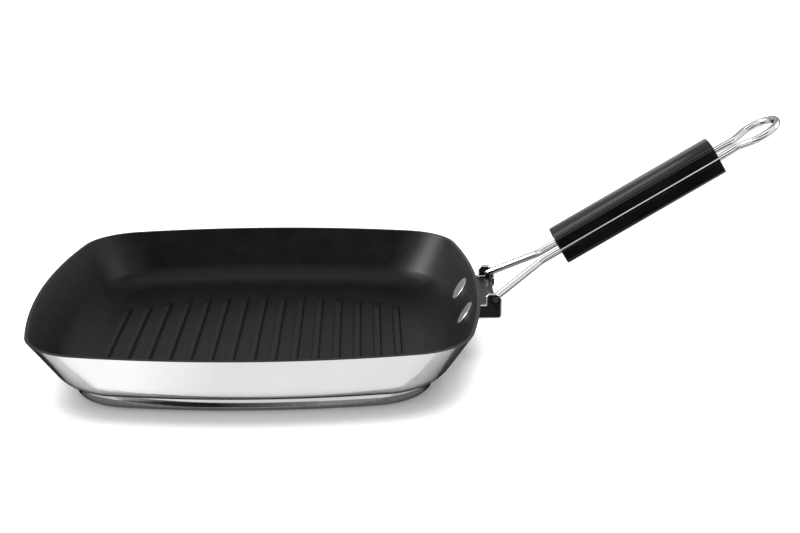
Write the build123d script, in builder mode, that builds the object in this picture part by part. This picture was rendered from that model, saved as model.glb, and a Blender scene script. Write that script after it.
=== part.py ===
"""Square grill pan with a folding wire handle, in millimetres.

The origin is the middle of the base's underside, +Z is up and +X points along the handle.
The pressed pan stands on a bonded base. A riveted bracket carries the bent wire handle, which
folds up and over the pan about the Y axis, and two moulded half shells make the grip.
"""

import os
from math import asin, atan2, cos, degrees, hypot, radians, sin, sqrt, tan

from build123d import *

# Pan body
rim_width = 280.0  # outside, at the middle of the sides
rim_height = 41.0
rim_side_radius = 495.0  # the sides bow outwards
rim_corner_radius = 41.6
foot_width = 236.0  # where the leaning walls would meet the flat bottom
foot_side_radius = 480.0
foot_corner_radius = 44.0
foot_bend = 25.0
body_sheet = 1.4
coat = 0.4

# Bonded base
base_width = 225.0
base_height = 5.8  # from the table to the body's flat underside
base_side_radius = 470.0
base_corner_radius = 40.0
base_bend = 2.6
capsule_sheet = 0.8

# Grill ribs
rib_count = 15
rib_pitch = 13.0
rib_offset = -3.5  # the whole set sits slightly away from the handle
rib_width = 4.9
rib_crown = 2.4
rib_height = 2.2
rib_length = 160.0  # of the middle rib
rib_end_slope = 15.0
rib_end_arc = 24.0  # how far in the outermost ribs' ends lie

# Bracket
ear_inside = 29.5  # from the middle to an ear's inner face
bracket_sheet = 2.0
ear_wall = 1.7  # around the pivot hole
ear_rim_gap = 2.4
ear_notch_drop = 6.0  # below the rim
ear_bottom_drop = 13.2
ear_chamfer = 3.4
ear_foot_chamfer = 1.4
shelf_drop = 4.2  # from the rim to the shelf between the ears
plate_bottom_drop = 19.0
shelf_reach = 9.8  # beyond the rim
tab_width = 6.5
tab_height = 6.0
tab_clearance = 0.3

# Rivets
rivet_spacing = 50.6
rivet_drop = 11.6  # below the rim, on the coated wall
rivet_head_radius = 7.9
rivet_head_height = 1.0
rivet_head_round = 0.6
rivet_shank_radius = 2.4
rivet_tail_radius = 3.8
rivet_tail_height = 1.6
rivet_tail_round = 0.9
rivet_seat_depth = 1.0

# Handle
handle_angle = 31.2  # above the horizontal, in use
pivot_out = 8.4  # beyond the rim
pivot_drop = 1.1  # below the rim
wire_diameter = 4.6
pivot_clearance = 0.08
ear_side_clearance = 0.4
pin_stand_out = 1.0
pin_chamfer = 0.6
leg_length = 36.0
leg_bend = 10.0
wire_gauge = 17.2  # between the middles of the two runs
waist_start = 168.0
waist_middle = 178.0
waist_gauge = 15.0
waist_bend = 8.0
eye_start = 189.0
eye_gauge = 29.0
eye_bend = 8.0
handle_length = 209.0  # from the pivot to the outside of the eye

# Grip
grip_start = 50.0
grip_length = 114.0
grip_width = 24.4
grip_thickness = 24.4
grip_gap = 2.4
grip_crown = 3.6  # rise of the curved back
grip_edge_round = 2.2
grip_end_round = 0.8
boss_radius = 4.6
screw_inset = 26.0
screw_radius = 1.6
screw_clearance = 0.2
screw_head_radius = 3.3
screw_head_height = 1.8
screw_head_sink = 2.6  # from the lower shell's back to the head's underside
screw_bite = 6.0
screw_slot_width = 1.0
screw_slot_depth = 0.9

cut_margin = 1.0
wall_run = (rim_width - foot_width) / 2
wall_rise = rim_height - base_height
wall_lean = atan2(wall_run, wall_rise)
half_rim = rim_width / 2
pivot_x = half_rim + pivot_out
pivot_z = rim_height - pivot_drop
wire_radius = wire_diameter / 2
hole_radius = wire_radius + pivot_clearance
ear_outside = ear_inside + bracket_sheet
lining_inset = body_sheet + coat

os.makedirs("parts", exist_ok=True)


def rounded_square(width, side_radius, corner_radius):
    """A closed line of four bowed sides and four tangent corners."""
    side_centre = width / 2 - side_radius
    reach = side_radius - corner_radius
    corner = (side_centre + sqrt(2 * reach**2 - side_centre**2)) / 2
    start = degrees(atan2(corner, corner - side_centre))
    with BuildLine() as quarter:
        CenterArc((side_centre, 0), side_radius, -start, 2 * start)
        CenterArc((corner, corner), corner_radius, start, 90 - 2 * start)
    with BuildLine() as outline:
        for turn in range(4):
            add(quarter.line.rotate(Axis.Z, 90 * turn))
    return outline.line


def pan_outline(inset, height):
    """The pan's outline at this height, moved in from the outer surface."""
    share = (height - base_height) / wall_rise
    width = foot_width + share * (rim_width - foot_width) - 2 * inset / cos(wall_lean)
    side = foot_side_radius + share * (rim_side_radius - foot_side_radius) - inset
    corner = foot_corner_radius + share * (rim_corner_radius - foot_corner_radius) - inset
    return rounded_square(width, side, corner)


def pan_form(inset, top):
    """The pan's outer form moved in by an inset, solid up to this height."""
    bottom = base_height + inset
    with BuildPart() as form:
        for height in (bottom, top):
            with BuildSketch(Plane.XY.offset(height)):
                add(pan_outline(inset, height))
                make_face()
        loft(ruled=True)
        fillet(form.edges().group_by(Axis.Z)[0], foot_bend - inset)
    return form.part


def ribs(grow):
    """The grill ribs as one set of bars with sloping sides and ends."""
    crown_height = base_height + body_sheet + rib_height + grow
    root_height = base_height + body_sheet / 2
    # The slopes carry on below the floor, where the bars are buried in the sheet.
    slope = (rib_width - rib_crown) / rib_height
    end_slope = 2 * rib_end_slope / rib_height
    drop = crown_height - root_height
    crown = rib_crown + 2 * grow
    with BuildPart() as bars:
        for index in range(rib_count):
            share = 2 * index / (rib_count - 1) - 1
            place = rib_offset + share * rib_pitch * (rib_count - 1) / 2
            crown_length = rib_length - 2 * rib_end_slope - 2 * rib_end_arc * share**2 + grow
            with BuildSketch(Plane.XY.offset(root_height)):
                with Locations((place, 0)):
                    Rectangle(crown + slope * drop, crown_length + end_slope * drop)
            with BuildSketch(Plane.XY.offset(crown_height)):
                with Locations((place, 0)):
                    Rectangle(crown, crown_length)
            loft(ruled=True)
    return bars.part


def bent_line(points, bends):
    """Straight runs through the points, with an arc of the given radius at each inner point."""
    start = points[0]
    for before, here, after, bend in zip(points, points[1:], points[2:], bends):
        into = (here - before).normalized()
        out = (after - here).normalized()
        turn = radians(into.get_angle(out))
        setback = bend * tan(turn / 2)
        middle = here + (out - into).normalized() * (bend / cos(turn / 2) - bend)
        first = here - into * setback
        last = here + out * setback
        Line(start, first)
        ThreePointArc(first, middle, last)
        start = last
    Line(start, points[-1])


# Forms that several pieces share
outer_form = pan_form(0, rim_height)
cavity_top = rim_height + cut_margin
steel_cavity = pan_form(body_sheet, cavity_top) - ribs(0)
free_cavity = pan_form(lining_inset, cavity_top) - ribs(coat)
bracket_form = pan_form(-bracket_sheet, rim_height)

# The rivets stand square to the wall, which leans and also bows.
wall_at_rivet = half_rim - rivet_drop * tan(wall_lean) - lining_inset / cos(wall_lean)
bow_radius = rim_side_radius - lining_inset
rivet_yaw = asin(rivet_spacing / 2 / bow_radius)
rivet_x = wall_at_rivet - bow_radius * (1 - cos(rivet_yaw))


def rivet_plane(side):
    """The plane on the coated wall at a rivet, facing into the pan."""
    facing = (
        -cos(wall_lean) * cos(rivet_yaw),
        -side * cos(wall_lean) * sin(rivet_yaw),
        sin(wall_lean),
    )
    seat = (rivet_x, side * rivet_spacing / 2, rim_height - rivet_drop)
    return Plane(origin=seat, z_dir=facing)


with BuildPart() as rivet_holes:
    for side in (-1, 1):
        with BuildSketch(rivet_plane(side)):
            Circle(rivet_shank_radius)
        extrude(amount=rivet_drop, both=True)

# Pressed steel body
with BuildPart() as pan_shell:
    add(outer_form)
    split(bisect_by=Plane.XY.offset(rim_height - coat), keep=Keep.BOTTOM)
    add(steel_cavity, mode=Mode.SUBTRACT)
    add(rivet_holes.part, mode=Mode.SUBTRACT)

# Non-stick lining, which also covers the rim's top edge
with BuildPart() as nonstick_lining:
    add(outer_form)
    split(bisect_by=Plane.XY.offset(rim_height - coat), keep=Keep.TOP)
    with BuildPart(mode=Mode.PRIVATE) as inside_coat:
        add(steel_cavity)
        split(bisect_by=Plane.XY.offset(rim_height - coat), keep=Keep.BOTTOM)
    add(inside_coat.part)
    add(free_cavity, mode=Mode.SUBTRACT)
    add(rivet_holes.part, mode=Mode.SUBTRACT)

# Bonded base: an aluminium core inside a steel capsule
with BuildPart() as base_block:
    with BuildSketch():
        add(rounded_square(base_width, base_side_radius, base_corner_radius))
        make_face()
    extrude(amount=rim_height / 2)
    fillet(base_block.edges().group_by(Axis.Z)[0], base_bend)

with BuildPart() as core_block:
    with BuildSketch(Plane.XY.offset(capsule_sheet)):
        add(
            rounded_square(
                base_width - 2 * capsule_sheet,
                base_side_radius - capsule_sheet,
                base_corner_radius - capsule_sheet,
            )
        )
        make_face()
    extrude(amount=rim_height / 2)
    fillet(core_block.edges().group_by(Axis.Z)[0], base_bend - capsule_sheet)

with BuildPart() as base_core:
    add(core_block.part)
    add(outer_form, mode=Mode.SUBTRACT)

with BuildPart() as base_cap:
    add(base_block.part)
    add(core_block.part, mode=Mode.SUBTRACT)
    add(outer_form, mode=Mode.SUBTRACT)

# The handle's plane: along the handle, then across, then up out of the handle
handle_x = (cos(radians(handle_angle)), 0, sin(radians(handle_angle)))
handle_z = (-sin(radians(handle_angle)), 0, cos(radians(handle_angle)))
handle_plane = Plane(origin=(pivot_x, 0, pivot_z), x_dir=handle_x, z_dir=handle_z)

# Pressed bracket: a plate shaped to the wall, a shelf, two ears and two stop tabs
ear_outer_x = pivot_x + hole_radius + ear_wall
ear_inner_x = half_rim + ear_rim_gap
ear_top_z = pivot_z + hole_radius + ear_wall
ear_bottom_z = rim_height - ear_bottom_drop
notch_z = rim_height - ear_notch_drop
shelf_top_z = rim_height - shelf_drop
plate_bottom_z = rim_height - plate_bottom_drop
# The wire rests over the tab's inner edge, this far from the wire's centre line.
tab_reach = ear_outer_x - bracket_sheet - pivot_x
tab_top_z = (
    pivot_z
    + tab_reach * tan(radians(handle_angle))
    - (wire_radius + tab_clearance) / cos(radians(handle_angle))
)

with BuildPart() as handle_bracket:
    with BuildSketch(Plane.XY.offset(plate_bottom_z)):
        with Locations((pivot_x, 0)):
            Rectangle(rim_width / 2, 2 * ear_outside)
    extrude(amount=shelf_top_z - plate_bottom_z)
    add(bracket_form, mode=Mode.INTERSECT)
    for side in (-1, 1):
        with BuildSketch(Plane.XZ.offset(-side * ear_outside)):
            with BuildLine():
                Polyline(
                    (wall_at_rivet, notch_z),
                    (ear_inner_x, notch_z),
                    (ear_inner_x, ear_top_z - ear_chamfer / 2),
                    (ear_inner_x + ear_chamfer / 2, ear_top_z),
                    (ear_outer_x - ear_chamfer, ear_top_z),
                    (ear_outer_x, ear_top_z - ear_chamfer),
                    (ear_outer_x, ear_bottom_z + ear_foot_chamfer),
                    (ear_outer_x - ear_foot_chamfer, ear_bottom_z),
                    (wall_at_rivet - ear_bottom_drop, ear_bottom_z),
                    close=True,
                )
            make_face()
        extrude(amount=side * bracket_sheet)
        with BuildSketch(Plane.XY.offset(tab_top_z - tab_height)):
            with Locations((ear_outer_x - bracket_sheet / 2, side * (ear_inside - tab_width / 2))):
                Rectangle(bracket_sheet, tab_width + bracket_sheet / 2)
        extrude(amount=tab_height)
    with BuildSketch(Plane.XY.offset(shelf_top_z - bracket_sheet)):
        with Locations(((wall_at_rivet + half_rim + shelf_reach) / 2, 0)):
            Rectangle(half_rim + shelf_reach - wall_at_rivet, 2 * ear_outside)
    extrude(amount=bracket_sheet)
    add(outer_form, mode=Mode.SUBTRACT)
    with BuildSketch(Plane.XZ):
        with Locations((pivot_x, pivot_z)):
            Circle(hole_radius)
    extrude(amount=2 * ear_outside, both=True, mode=Mode.SUBTRACT)
    add(rivet_holes.part, mode=Mode.SUBTRACT)

# Rivets: a wide flat head on the lining, a shank and a closed head on the bracket
stack = lining_inset + bracket_sheet
rivets = {}
for name, side in (("rivet_near", -1), ("rivet_far", 1)):
    seat = rivet_plane(side)
    with BuildPart() as head:
        with BuildSketch(seat.offset(-rivet_seat_depth)):
            Circle(rivet_head_radius)
        extrude(amount=rivet_head_height + rivet_seat_depth)
        outer_edges = [
            edge
            for edge in head.edges().filter_by(GeomType.CIRCLE)
            if seat.to_local_coords(edge.arc_center).Z > 0
        ]
        fillet(outer_edges, rivet_head_round)
        add(free_cavity, mode=Mode.INTERSECT)
    with BuildPart() as tail:
        with BuildSketch(seat.offset(-stack - rivet_tail_height)):
            Circle(rivet_tail_radius)
        extrude(amount=rivet_tail_height + rivet_seat_depth)
        outer_edges = [
            edge
            for edge in tail.edges().filter_by(GeomType.CIRCLE)
            if seat.to_local_coords(edge.arc_center).Z < -stack - rivet_tail_height / 2
        ]
        fillet(outer_edges, rivet_tail_round)
        add(bracket_form, mode=Mode.SUBTRACT)
    with BuildPart() as rivet:
        with BuildSketch(seat.offset(-stack - rivet_tail_height / 2)):
            Circle(rivet_shank_radius)
        extrude(amount=stack + rivet_tail_height / 2 + rivet_head_height / 2)
        add(head.part)
        add(tail.part)
    rivets[name] = rivet.part

# Handle wire: one round rod from one pivot pin round the eye to the other
leg_side = ear_inside - ear_side_clearance - wire_radius
pin_bend = ear_side_clearance + wire_radius
pin_end = ear_outside + pin_stand_out
eye_tip = handle_length - wire_radius
half_wire = [
    ((0, pin_end), None),
    ((0, leg_side), pin_bend),
    ((leg_length, wire_gauge / 2), leg_bend),
    ((waist_start, wire_gauge / 2), waist_bend),
    ((waist_middle, waist_gauge / 2), waist_bend),
    ((eye_start, eye_gauge / 2), eye_bend),
    ((eye_tip, eye_gauge / 2), eye_gauge / 2),
]
mirrored = [((along, -across), bend) for (along, across), bend in reversed(half_wire)]
whole_wire = half_wire + mirrored
eye_round = eye_gauge / 2 * 0.98  # a short straight piece joins the eye's two bends
with BuildPart() as handle_wire:
    with BuildLine() as wire_path:
        bent_line(
            [handle_plane.from_local_coords((*point, 0)) for point, bend in whole_wire],
            [min(bend, eye_round) for point, bend in whole_wire[1:-1]],
        )
    with BuildSketch(Plane(origin=wire_path.line @ 0, z_dir=wire_path.line % 0)):
        Circle(wire_radius)
    sweep()
    pin_faces = handle_wire.faces().filter_by(GeomType.PLANE).sort_by(Axis.Y)
    chamfer(pin_faces[0].edges() + pin_faces[-1].edges(), pin_chamfer)

# Grip shells: the upper one carries two bosses, the lower one is screwed up to them
grip_middle = grip_start + grip_length / 2
screw_places = [
    (grip_start + screw_inset, 0),
    (grip_start + grip_length - screw_inset, 0),
]
grip_edge = grip_thickness / 2 - grip_crown


def grip_shell(side):
    """One plain half of the grip, above or below the wire's plane."""
    section_plane = Plane(
        origin=handle_plane.from_local_coords((grip_start, 0, 0)),
        x_dir=(0, 1, 0),
        z_dir=handle_x,
    )
    # The section's second direction points down out of the handle's plane or up, by side.
    up = 1 if section_plane.y_dir.dot(handle_plane.z_dir) > 0 else -1
    rise = side * up
    half = grip_width / 2
    with BuildPart() as shell:
        with BuildSketch(section_plane):
            with BuildLine():
                Polyline(
                    (half, rise * grip_edge),
                    (half, rise * grip_gap / 2),
                    (-half, rise * grip_gap / 2),
                    (-half, rise * grip_edge),
                )
                ThreePointArc(
                    (-half, rise * grip_edge),
                    (0, rise * grip_thickness / 2),
                    (half, rise * grip_edge),
                )
            make_face()
        extrude(amount=grip_length)
        long_edges = shell.edges().filter_by(Axis((0, 0, 0), handle_x))
        high = long_edges.sort_by(Axis((0, 0, 0), tuple(side * value for value in handle_z)))
        fillet(high[-2:], grip_edge_round)
        ends = shell.faces().filter_by(Axis((0, 0, 0), handle_x))
        end_edges = [
            edge
            for end in ends
            for edge in end.edges()
            if side * handle_plane.to_local_coords(edge @ 0.5).Z > grip_gap / 2 + cut_margin / 10
        ]
        fillet(end_edges, grip_end_round)
    return shell.part


with BuildPart() as grip_upper:
    add(grip_shell(1))
    with BuildSketch(handle_plane.offset(-grip_gap / 2)):
        with Locations(*screw_places):
            Circle(boss_radius)
    extrude(amount=grip_gap + wire_radius)
    with BuildSketch(handle_plane.offset(-grip_gap)):
        with Locations(*screw_places):
            Circle(screw_radius)
    extrude(amount=screw_bite + grip_gap, mode=Mode.SUBTRACT)
    add(handle_wire.part, mode=Mode.SUBTRACT)

with BuildPart() as grip_lower:
    add(grip_shell(-1))
    with BuildSketch(handle_plane.offset(-grip_thickness / 2)):
        with Locations(*screw_places):
            Circle(screw_head_radius + screw_clearance)
    extrude(amount=screw_head_sink, mode=Mode.SUBTRACT)
    with BuildSketch(handle_plane.offset(-grip_thickness / 2)):
        with Locations(*screw_places):
            Circle(screw_radius + screw_clearance)
    extrude(amount=grip_thickness / 2, mode=Mode.SUBTRACT)
    add(handle_wire.part, mode=Mode.SUBTRACT)

screws = {}
head_seat = -grip_thickness / 2 + screw_head_sink
for name, place in zip(("grip_screw_inner", "grip_screw_outer"), screw_places):
    with BuildPart() as screw:
        with BuildSketch(handle_plane.offset(head_seat - screw_head_height)):
            with Locations(place):
                Circle(screw_head_radius)
        extrude(amount=screw_head_height)
        chamfer(screw.edges().sort_by(Axis((0, 0, 0), handle_z))[0], screw_head_height / 4)
        with BuildSketch(handle_plane.offset(head_seat)):
            with Locations(place):
                Circle(screw_radius)
        extrude(amount=screw_bite - head_seat)
        with BuildSketch(handle_plane.offset(head_seat - screw_head_height)):
            with Locations(place):
                Rectangle(screw_head_radius * 1.4, screw_slot_width)
                Rectangle(screw_slot_width, screw_head_radius * 1.4)
        extrude(amount=screw_slot_depth, mode=Mode.SUBTRACT)
    screws[name] = screw.part

pieces = {
    "pan_shell": pan_shell.part,
    "nonstick_lining": nonstick_lining.part,
    "base_core": base_core.part,
    "base_cap": base_cap.part,
    "handle_bracket": handle_bracket.part,
    "handle_wire": handle_wire.part,
    "grip_upper": grip_upper.part,
    "grip_lower": grip_lower.part,
}
pieces.update(rivets)
pieces.update(screws)
for name, piece in pieces.items():
    piece.label = name
    export_step(piece, f"parts/{name}.step")
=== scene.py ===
"""Materials, light, floor and camera for the square grill pan with its folding wire handle.

The pan stands on the floor at Z = 0 and the handle points along +X. Lengths are in metres.
"""

import math

import bpy
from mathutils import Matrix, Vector

MM = 0.001

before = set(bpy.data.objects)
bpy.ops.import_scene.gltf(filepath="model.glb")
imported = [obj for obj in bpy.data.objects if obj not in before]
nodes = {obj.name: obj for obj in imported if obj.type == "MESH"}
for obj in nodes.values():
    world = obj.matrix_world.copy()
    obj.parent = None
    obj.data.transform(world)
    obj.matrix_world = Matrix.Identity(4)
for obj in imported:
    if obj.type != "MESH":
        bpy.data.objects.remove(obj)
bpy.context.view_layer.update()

# The photograph's view, fitted to the rim, the ribs, the base and the handle
CAMERA_PLACE = Vector((0.068, -0.893, 0.324))
CAMERA_PITCH = math.radians(16.89)  # looking down
CAMERA_YAW = math.radians(-1.37)
FOCAL_PIXELS = 1452
PHOTO_PIXELS = 800
SENSOR_WIDTH = 36.0

# Where a finish changes on the pan
RIM_LIP = 40.4 * MM  # the coating wraps over the rim from this height
RIM_LIP_FADE = 0.2 * MM
BASE_FOOT = (0.5 * MM, 0.9 * MM)  # the painted highlight on the base's lower edge ends between these heights
BASE_SHOULDER = (5.2 * MM, 5.5 * MM)  # and the painted highlight on its upper edge starts between these
PIN_END = 31.6 * MM  # from the middle to where the hinge pins leave the ears
PIN_FADE = 0.3 * MM
PIVOT = (148.4 * MM, 0, 39.9 * MM)
BY_THE_PIN = (3.2 * MM, 3.6 * MM)  # the bracket's painted edge highlights start this far from the pivot

# The bracket's rounded edges
EDGE_ROUND = 0.7 * MM
EDGE_SEGMENTS = 2
EDGE_ANGLE = math.radians(40)  # creases sharper than this are rounded
EDGE_SLOT = 1  # the bracket's second material
WELD_GAP = 0.002 * MM

# Light and colour
WHITE = (1, 1, 1, 1)
DARK_EDGE = (0.12, 0.12, 0.12, 1.0)  # steel's tint at grazing angles
NOISE_RANGE = (0.3, 0.7)  # holds nearly all values of a noise field
AMBIENT = 0.8  # the surround's light on matt surfaces
FLOOR_WIDTH = 12
FLOOR_DROP = 0.1 * MM  # keeps the floor's plane clear of the base
FLOOR_LIFT = 0.74  # what the camera sees on top of the floor's own light
FLOOR_GLINT = 0.06  # and what reflections see
SHADOW_REACH = 27 * MM  # how far from the pan the lift is held back, as a painted shadow
SHADOW_RANGE = (0.5, 0.98)  # the openness at which the lift starts and is full


class Tree:
    """A node tree with short calls for the nodes used here."""

    def __init__(self, tree):
        self.tree = tree

    def add(self, kind, inputs=None, **settings):
        node = self.tree.nodes.new(kind)
        for key, value in settings.items():
            setattr(node, key, value)
        for key, value in (inputs or {}).items():
            self.put(node.inputs[key], value)
        return node

    def put(self, socket, value):
        """Links another node's output to the socket, or sets a plain value on it."""
        if isinstance(value, bpy.types.NodeSocket):
            self.tree.links.new(value, socket)
        else:
            socket.default_value = value

    def combine(self, operation, *values):
        """The result of a calculation with plain numbers."""
        inputs = dict(enumerate(values))
        return self.add("ShaderNodeMath", inputs, operation=operation).outputs["Value"]

    def measure(self, operation, *points):
        """A length or a distance in space."""
        inputs = dict(enumerate(points))
        return self.add("ShaderNodeVectorMath", inputs, operation=operation).outputs["Value"]

    def span(self, value, start, end, at_start, at_end):
        """The value moved from one span to another and clamped."""
        inputs = {
            "Value": value,
            "From Min": start,
            "From Max": end,
            "To Min": at_start,
            "To Max": at_end,
        }
        return self.add("ShaderNodeMapRange", inputs).outputs["Result"]

    def blend(self, factor, first, second):
        """A colour between two others."""
        node = self.add("ShaderNodeMix", data_type="RGBA")
        for key, value in (("Factor", factor), ("A", first), ("B", second)):
            self.put(node.inputs[key], value)
        return node.outputs["Result"]


class Surface(Tree):
    """A material whose patterns are fixed to the object."""

    def __init__(self, name):
        self.material = bpy.data.materials.new(name)
        self.material.use_nodes = True
        super().__init__(self.material.node_tree)
        self.shader = self.tree.nodes["Principled BSDF"]
        self.place = self.add("ShaderNodeTexCoord").outputs["Object"]

    def along(self, axis):
        """The place on one axis, such as the height for Z."""
        return self.add("ShaderNodeSeparateXYZ", {"Vector": self.place}).outputs[axis]

    def noise(self, scale, detail, stretch=None):
        """A noise field, stretched along the axes where a direction is wanted."""
        place = self.place
        if stretch:
            mapping = self.add("ShaderNodeMapping", {"Vector": place, "Scale": stretch})
            place = mapping.outputs["Vector"]
        inputs = {"Vector": place, "Scale": scale, "Detail": detail}
        return self.add("ShaderNodeTexNoise", inputs).outputs["Fac"]

    def vary(self, field, low, high):
        """A number that drifts between two others with a noise field."""
        return self.span(field, *NOISE_RANGE, low, high)

    def greys(self, field, dark, light):
        """A grey that drifts between two levels with a noise field."""
        return self.blend(self.vary(field, 0, 1), grey(dark), grey(light))

    def bump(self, height, distance, strength):
        inputs = {"Height": height, "Distance": distance, "Strength": strength}
        return self.add("ShaderNodeBump", inputs).outputs["Normal"]

    def shade(self, **values):
        """Sets the shader's sockets by their names, such as base_color."""
        for key, value in values.items():
            socket = key.replace("_", " ").title().replace("Ior", "IOR")
            self.put(self.shader.inputs[socket], value)


def grey(level):
    return (level, level, level, 1.0)


def dress(surface, *names):
    """Gives the surface to the named nodes, in place of what they had."""
    for name in names:
        materials = nodes[name].data.materials
        materials.clear()
        materials.append(surface.material)


# Non-stick coating: near black, with a fine even tooth and slight mottling
coating = Surface("coating")
mottle = coating.noise(scale=90, detail=5)
speckle = coating.noise(scale=2600, detail=2)
coating.shade(
    base_color=coating.greys(mottle, 0.003, 0.006),
    roughness=coating.vary(mottle, 0.34, 0.40),
    normal=coating.bump(speckle, distance=0.06 * MM, strength=0.5),
    specular_ior_level=0.14,
)
dress(coating, "nonstick_lining")

# Outside of the body: light satin steel, with the dark coating over the lip of the rim
satin = Surface("body_steel")
cloud = satin.noise(scale=30, detail=4)
grain = satin.noise(scale=400, detail=3, stretch=(1, 1, 12))
lip = satin.span(satin.along("Z"), RIM_LIP, RIM_LIP + RIM_LIP_FADE, 0, 1)
steel_roughness = satin.vary(grain, 0.09, 0.14)
lip_roughness = satin.span(lip, 0, 1, 0, 0.6)
satin.shade(
    base_color=satin.blend(lip, satin.greys(cloud, 0.90, 0.94), grey(0.005)),
    metallic=satin.span(lip, 0, 1, 1, 0),
    roughness=satin.combine("MAXIMUM", steel_roughness, lip_roughness),
    normal=satin.bump(grain, distance=0.004 * MM, strength=0.3),
    specular_ior_level=0.1,
    specular_tint=DARK_EDGE,
)
dress(satin, "pan_shell")

# Base capsule: turned steel, with a painted dark reflection of the shaded floor on its side
# and painted highlights on its two edges
turned = Surface("base_steel")
radius = turned.measure("LENGTH", turned.place)
rings = turned.add(
    "ShaderNodeTexNoise",
    {"W": radius, "Scale": 1800, "Detail": 2},
    noise_dimensions="1D",
).outputs["Fac"]
height = turned.along("Z")
shoulder = turned.span(height, *BASE_SHOULDER, 0, 1)
foot = turned.span(height, *BASE_FOOT, 1, 0)
painted_edge_highlights = turned.combine("MAXIMUM", shoulder, foot)
# Painted light: the side's dark grey stands for the shaded floor it mirrors, and the light
# grey on the two edges is a painted highlight
turned.shade(
    base_color=turned.blend(painted_edge_highlights, turned.greys(rings, 0.20, 0.25), grey(0.70)),
    metallic=1.0,
    roughness=turned.vary(rings, 0.10, 0.16),
    normal=turned.bump(rings, distance=0.01 * MM, strength=0.2),
    specular_tint=DARK_EDGE,
)
dress(turned, "base_cap")

# Core, which the capsule hides
rolled = Surface("core_aluminium")
rolled.shade(
    base_color=grey(0.70),
    metallic=1.0,
    roughness=rolled.vary(rolled.noise(scale=200, detail=4), 0.4, 0.5),
)
dress(rolled, "base_core")

# Polished wire, whose pin ends beyond the bracket's ears are dark
bright = Surface("bright_steel")
smear = bright.noise(scale=60, detail=3)
off_centre = bright.combine("ABSOLUTE", bright.along("Y"))
pin_end = bright.span(off_centre, PIN_END - PIN_FADE, PIN_END, 0, 1)
bright.shade(
    base_color=bright.blend(pin_end, bright.greys(smear, 0.72, 0.82), grey(0.04)),
    metallic=1.0,
    roughness=bright.vary(smear, 0.06, 0.12),
    specular_tint=DARK_EDGE,
)
dress(bright, "handle_wire")

# Satin rivet and screw heads
plain = Surface("rivet_steel")
fine = plain.noise(scale=500, detail=3)
plain.shade(
    base_color=grey(0.34),
    metallic=0.9,
    roughness=plain.vary(fine, 0.30, 0.42),
    normal=plain.bump(fine, distance=0.008 * MM, strength=0.3),
)
dress(plain, "rivet_near", "rivet_far", "grip_screw_inner", "grip_screw_outer")

# Moulded grip: black and fairly glossy
moulded = Surface("grip_black")
skin = moulded.noise(scale=900, detail=2)
wear = moulded.noise(scale=40, detail=4)
moulded.shade(
    base_color=moulded.greys(wear, 0.002, 0.004),
    roughness=moulded.vary(wear, 0.16, 0.22),
    normal=moulded.bump(skin, distance=0.01 * MM, strength=0.2),
    specular_ior_level=0.5,
)
dress(moulded, "grip_upper", "grip_lower")

# The bracket's faces: dark
dark_faces = Surface("dark_steel")
scuff = dark_faces.noise(scale=120, detail=4)
dark_faces.shade(
    base_color=dark_faces.greys(scuff, 0.006, 0.015),
    roughness=dark_faces.vary(scuff, 0.36, 0.46),
    specular_ior_level=0.16,
)
dress(dark_faces, "handle_bracket")

# The bracket's edges: rounded, with a painted highlight in their colour, except round the
# pins.
# Their distance from the pivot is taken as in a side view, with Y left out.
edge = Surface("painted_edge_highlight")
side_view = edge.add(
    "ShaderNodeVectorMath", {0: edge.place, 1: (1, 0, 1)}, operation="MULTIPLY"
).outputs["Vector"]
off_pin = edge.span(edge.measure("DISTANCE", side_view, PIVOT), *BY_THE_PIN, 0, 1)
# The edges' light colour is a painted highlight, left off round the pins
edge.shade(
    base_color=edge.blend(off_pin, grey(0.02), grey(0.85)),
    metallic=1.0,
    roughness=edge.vary(edge.noise(scale=300, detail=4), 0.16, 0.26),
)
bracket = nodes["handle_bracket"]
bracket.data.materials.append(edge.material)
weld = bracket.modifiers.new("weld", "WELD")
weld.merge_threshold = WELD_GAP
bevel = bracket.modifiers.new("soft_edges", "BEVEL")
bevel.width = EDGE_ROUND
bevel.segments = EDGE_SEGMENTS
bevel.limit_method = "ANGLE"
bevel.angle_limit = EDGE_ANGLE
bevel.material = EDGE_SLOT
bevel.harden_normals = True
bevel.use_clamp_overlap = False

# Floor: a plain pale plane. The camera sees it brighter than it is lit, except close to the
# pan, where the lift fades out as a painted shadow that stands out with the pan's own shadow
# from the white surround.
floor_paint = Surface("floor_paint")
ray = floor_paint.add("ShaderNodeLightPath").outputs
openness = floor_paint.add(
    "ShaderNodeAmbientOcclusion", {"Distance": SHADOW_REACH}, samples=8
).outputs["AO"]
# Painted shadow: the lift fades where the pan closes the floor in
clear = floor_paint.span(openness, *SHADOW_RANGE, 0, 1)
lift = floor_paint.combine("MULTIPLY", ray["Is Camera Ray"], FLOOR_LIFT)
lift = floor_paint.combine("MULTIPLY", lift, clear)
floor_paint.shade(
    base_color=grey(0.84),
    roughness=1.0,
    specular_ior_level=0.0,
    emission_color=WHITE,
    emission_strength=floor_paint.combine(
        "MULTIPLY_ADD", ray["Is Glossy Ray"], FLOOR_GLINT, lift
    ),
)
bpy.ops.mesh.primitive_plane_add(size=FLOOR_WIDTH, location=(0, 0, -FLOOR_DROP))
floor = bpy.context.object
floor.name = "floor"
floor.data.materials.append(floor_paint.material)

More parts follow.
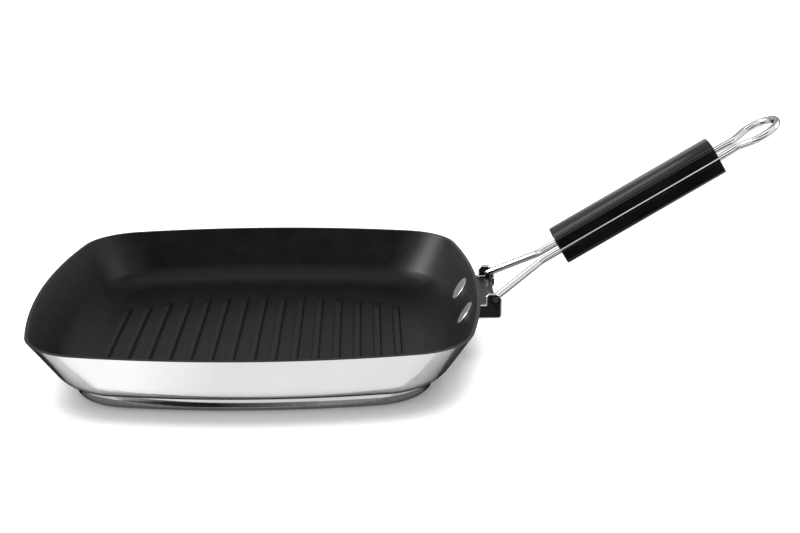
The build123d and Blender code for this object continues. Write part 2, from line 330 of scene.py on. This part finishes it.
# Surround: white wherever it is seen or mirrored, and a softer light on everything else
world = bpy.data.worlds.new("studio")
bpy.context.scene.world = world
world.use_nodes = True
studio = Tree(world.node_tree)
background = studio.tree.nodes["Background"]
background.inputs["Color"].default_value = WHITE
ray = studio.add("ShaderNodeLightPath").outputs
mirrored = studio.combine("MAXIMUM", ray["Is Glossy Ray"], ray["Is Transmission Ray"])
shown = studio.combine("MAXIMUM", ray["Is Camera Ray"], mirrored)
studio.put(background.inputs["Strength"], studio.span(shown, 0, 1, AMBIENT, 1))

FLAT = (0, 0, 0)
UPRIGHT = (math.pi / 2, 0, 0)
ON_FLOOR = 0.5 * MM  # the height of the cards that lie there


def add_card(name, place, size, turn=FLAT, level=0.0, fade=None, both_ways=False):
    """A card that shows in reflections alone, for dark lines and white glare on the pan.

    It glows evenly at its level, or fades: along an axis, from one place on the card to
    another, with a level at each. A fade that runs both ways is mirrored at the middle.
    """
    face = Surface(name)
    if fade:
        axis, *ends = fade
        along = face.along(axis)
        if both_ways:
            along = face.combine("ABSOLUTE", along)
        level = face.span(along, *ends)
    face.shade(
        base_color=grey(0.01),
        roughness=1.0,
        specular_ior_level=0.0,
        emission_color=WHITE,
        emission_strength=level,
    )
    bpy.ops.mesh.primitive_plane_add(size=1, location=place, rotation=turn)
    card = bpy.context.object
    card.name = name
    card.scale = (*size, 1)
    card.data.materials.append(face.material)
    card.visible_camera = False
    card.visible_shadow = False
    card.visible_diffuse = False


# Cards round the pan, named for where they are: flags keep the white surround out of the
# steel and the coating, and glares add to it.
add_card("flag_behind_handle", (0.36, 0.32, 0.05), (0.40, 0.10), UPRIGHT)
add_card(
    "flag_over_handle", (0.0, 0.25, 0.56), (1.3, 0.5), (math.radians(-35), 0, 0), level=0.45
)
for side, centre, width, near_level in (
    ("right", 0.195, 0.21, 0.22),
    ("left", -0.16, 0.14, 0.15),
):
    add_card(
        f"flag_{side}_end",
        (centre, 0.005, ON_FLOOR),
        (width, 0.18),
        fade=("Y", -0.1, 0.5, near_level, 0.74),
    )
add_card(
    "flag_base_dark",
    (-0.035, -0.1155, 2 * MM),
    (0.15, 0.004),
    UPRIGHT,
    fade=("X", 0.1, 0.5, 0.04, 0.7),
    both_ways=True,
)
add_card("glare_above", (-0.01, 0.20, 0.42), (0.26, 0.12), level=2.2)
add_card("flag_front", (0.36, -0.48, ON_FLOOR), (0.60, 0.66), level=0.02)
add_card("flag_far", (-0.07, 0.40, 0.20), (0.40, 0.30), UPRIGHT, level=0.42)
add_card("flag_above_front", (0.0, -1.0, 1.15), (1.6, 0.7), (math.radians(50), 0, 0))
add_card(
    "glare_front",
    (0.0, -0.147, 0.7 * MM),
    (0.34, 0.066),
    fade=("X", -0.22, -0.06, 1.12, 0.85),
)


def add_lamp(name, place, size, watts, sheen_only=False):
    """A soft square lamp that faces the pan. With sheen_only it gives highlights alone."""
    data = bpy.data.lights.new(name, "AREA")
    data.shape = "SQUARE"
    data.size = size
    data.energy = watts
    lamp = bpy.data.objects.new(name, data)
    bpy.context.scene.collection.objects.link(lamp)
    lamp.location = place
    lamp.rotation_euler = (-Vector(place)).to_track_quat("-Z", "Y").to_euler()
    lamp.visible_diffuse = not sheen_only


add_lamp("side_left", (-1.2, 0.15, 0.6), size=0.6, watts=52, sheen_only=True)
add_lamp("side_right", (1.2, 0.15, 0.6), size=0.5, watts=14, sheen_only=True)
add_lamp("overhead", (-0.2, 0.1, 1.6), size=1.2, watts=4)

view = bpy.data.cameras.new("view")
view.sensor_width = SENSOR_WIDTH
view.lens = FOCAL_PIXELS * SENSOR_WIDTH / PHOTO_PIXELS
camera = bpy.data.objects.new("camera", view)
bpy.context.scene.collection.objects.link(camera)
camera.location = CAMERA_PLACE
camera.rotation_euler = (math.pi / 2 - CAMERA_PITCH, 0, CAMERA_YAW)
bpy.context.scene.camera = camera
bpy.context.scene.view_settings.view_transform = "Standard"
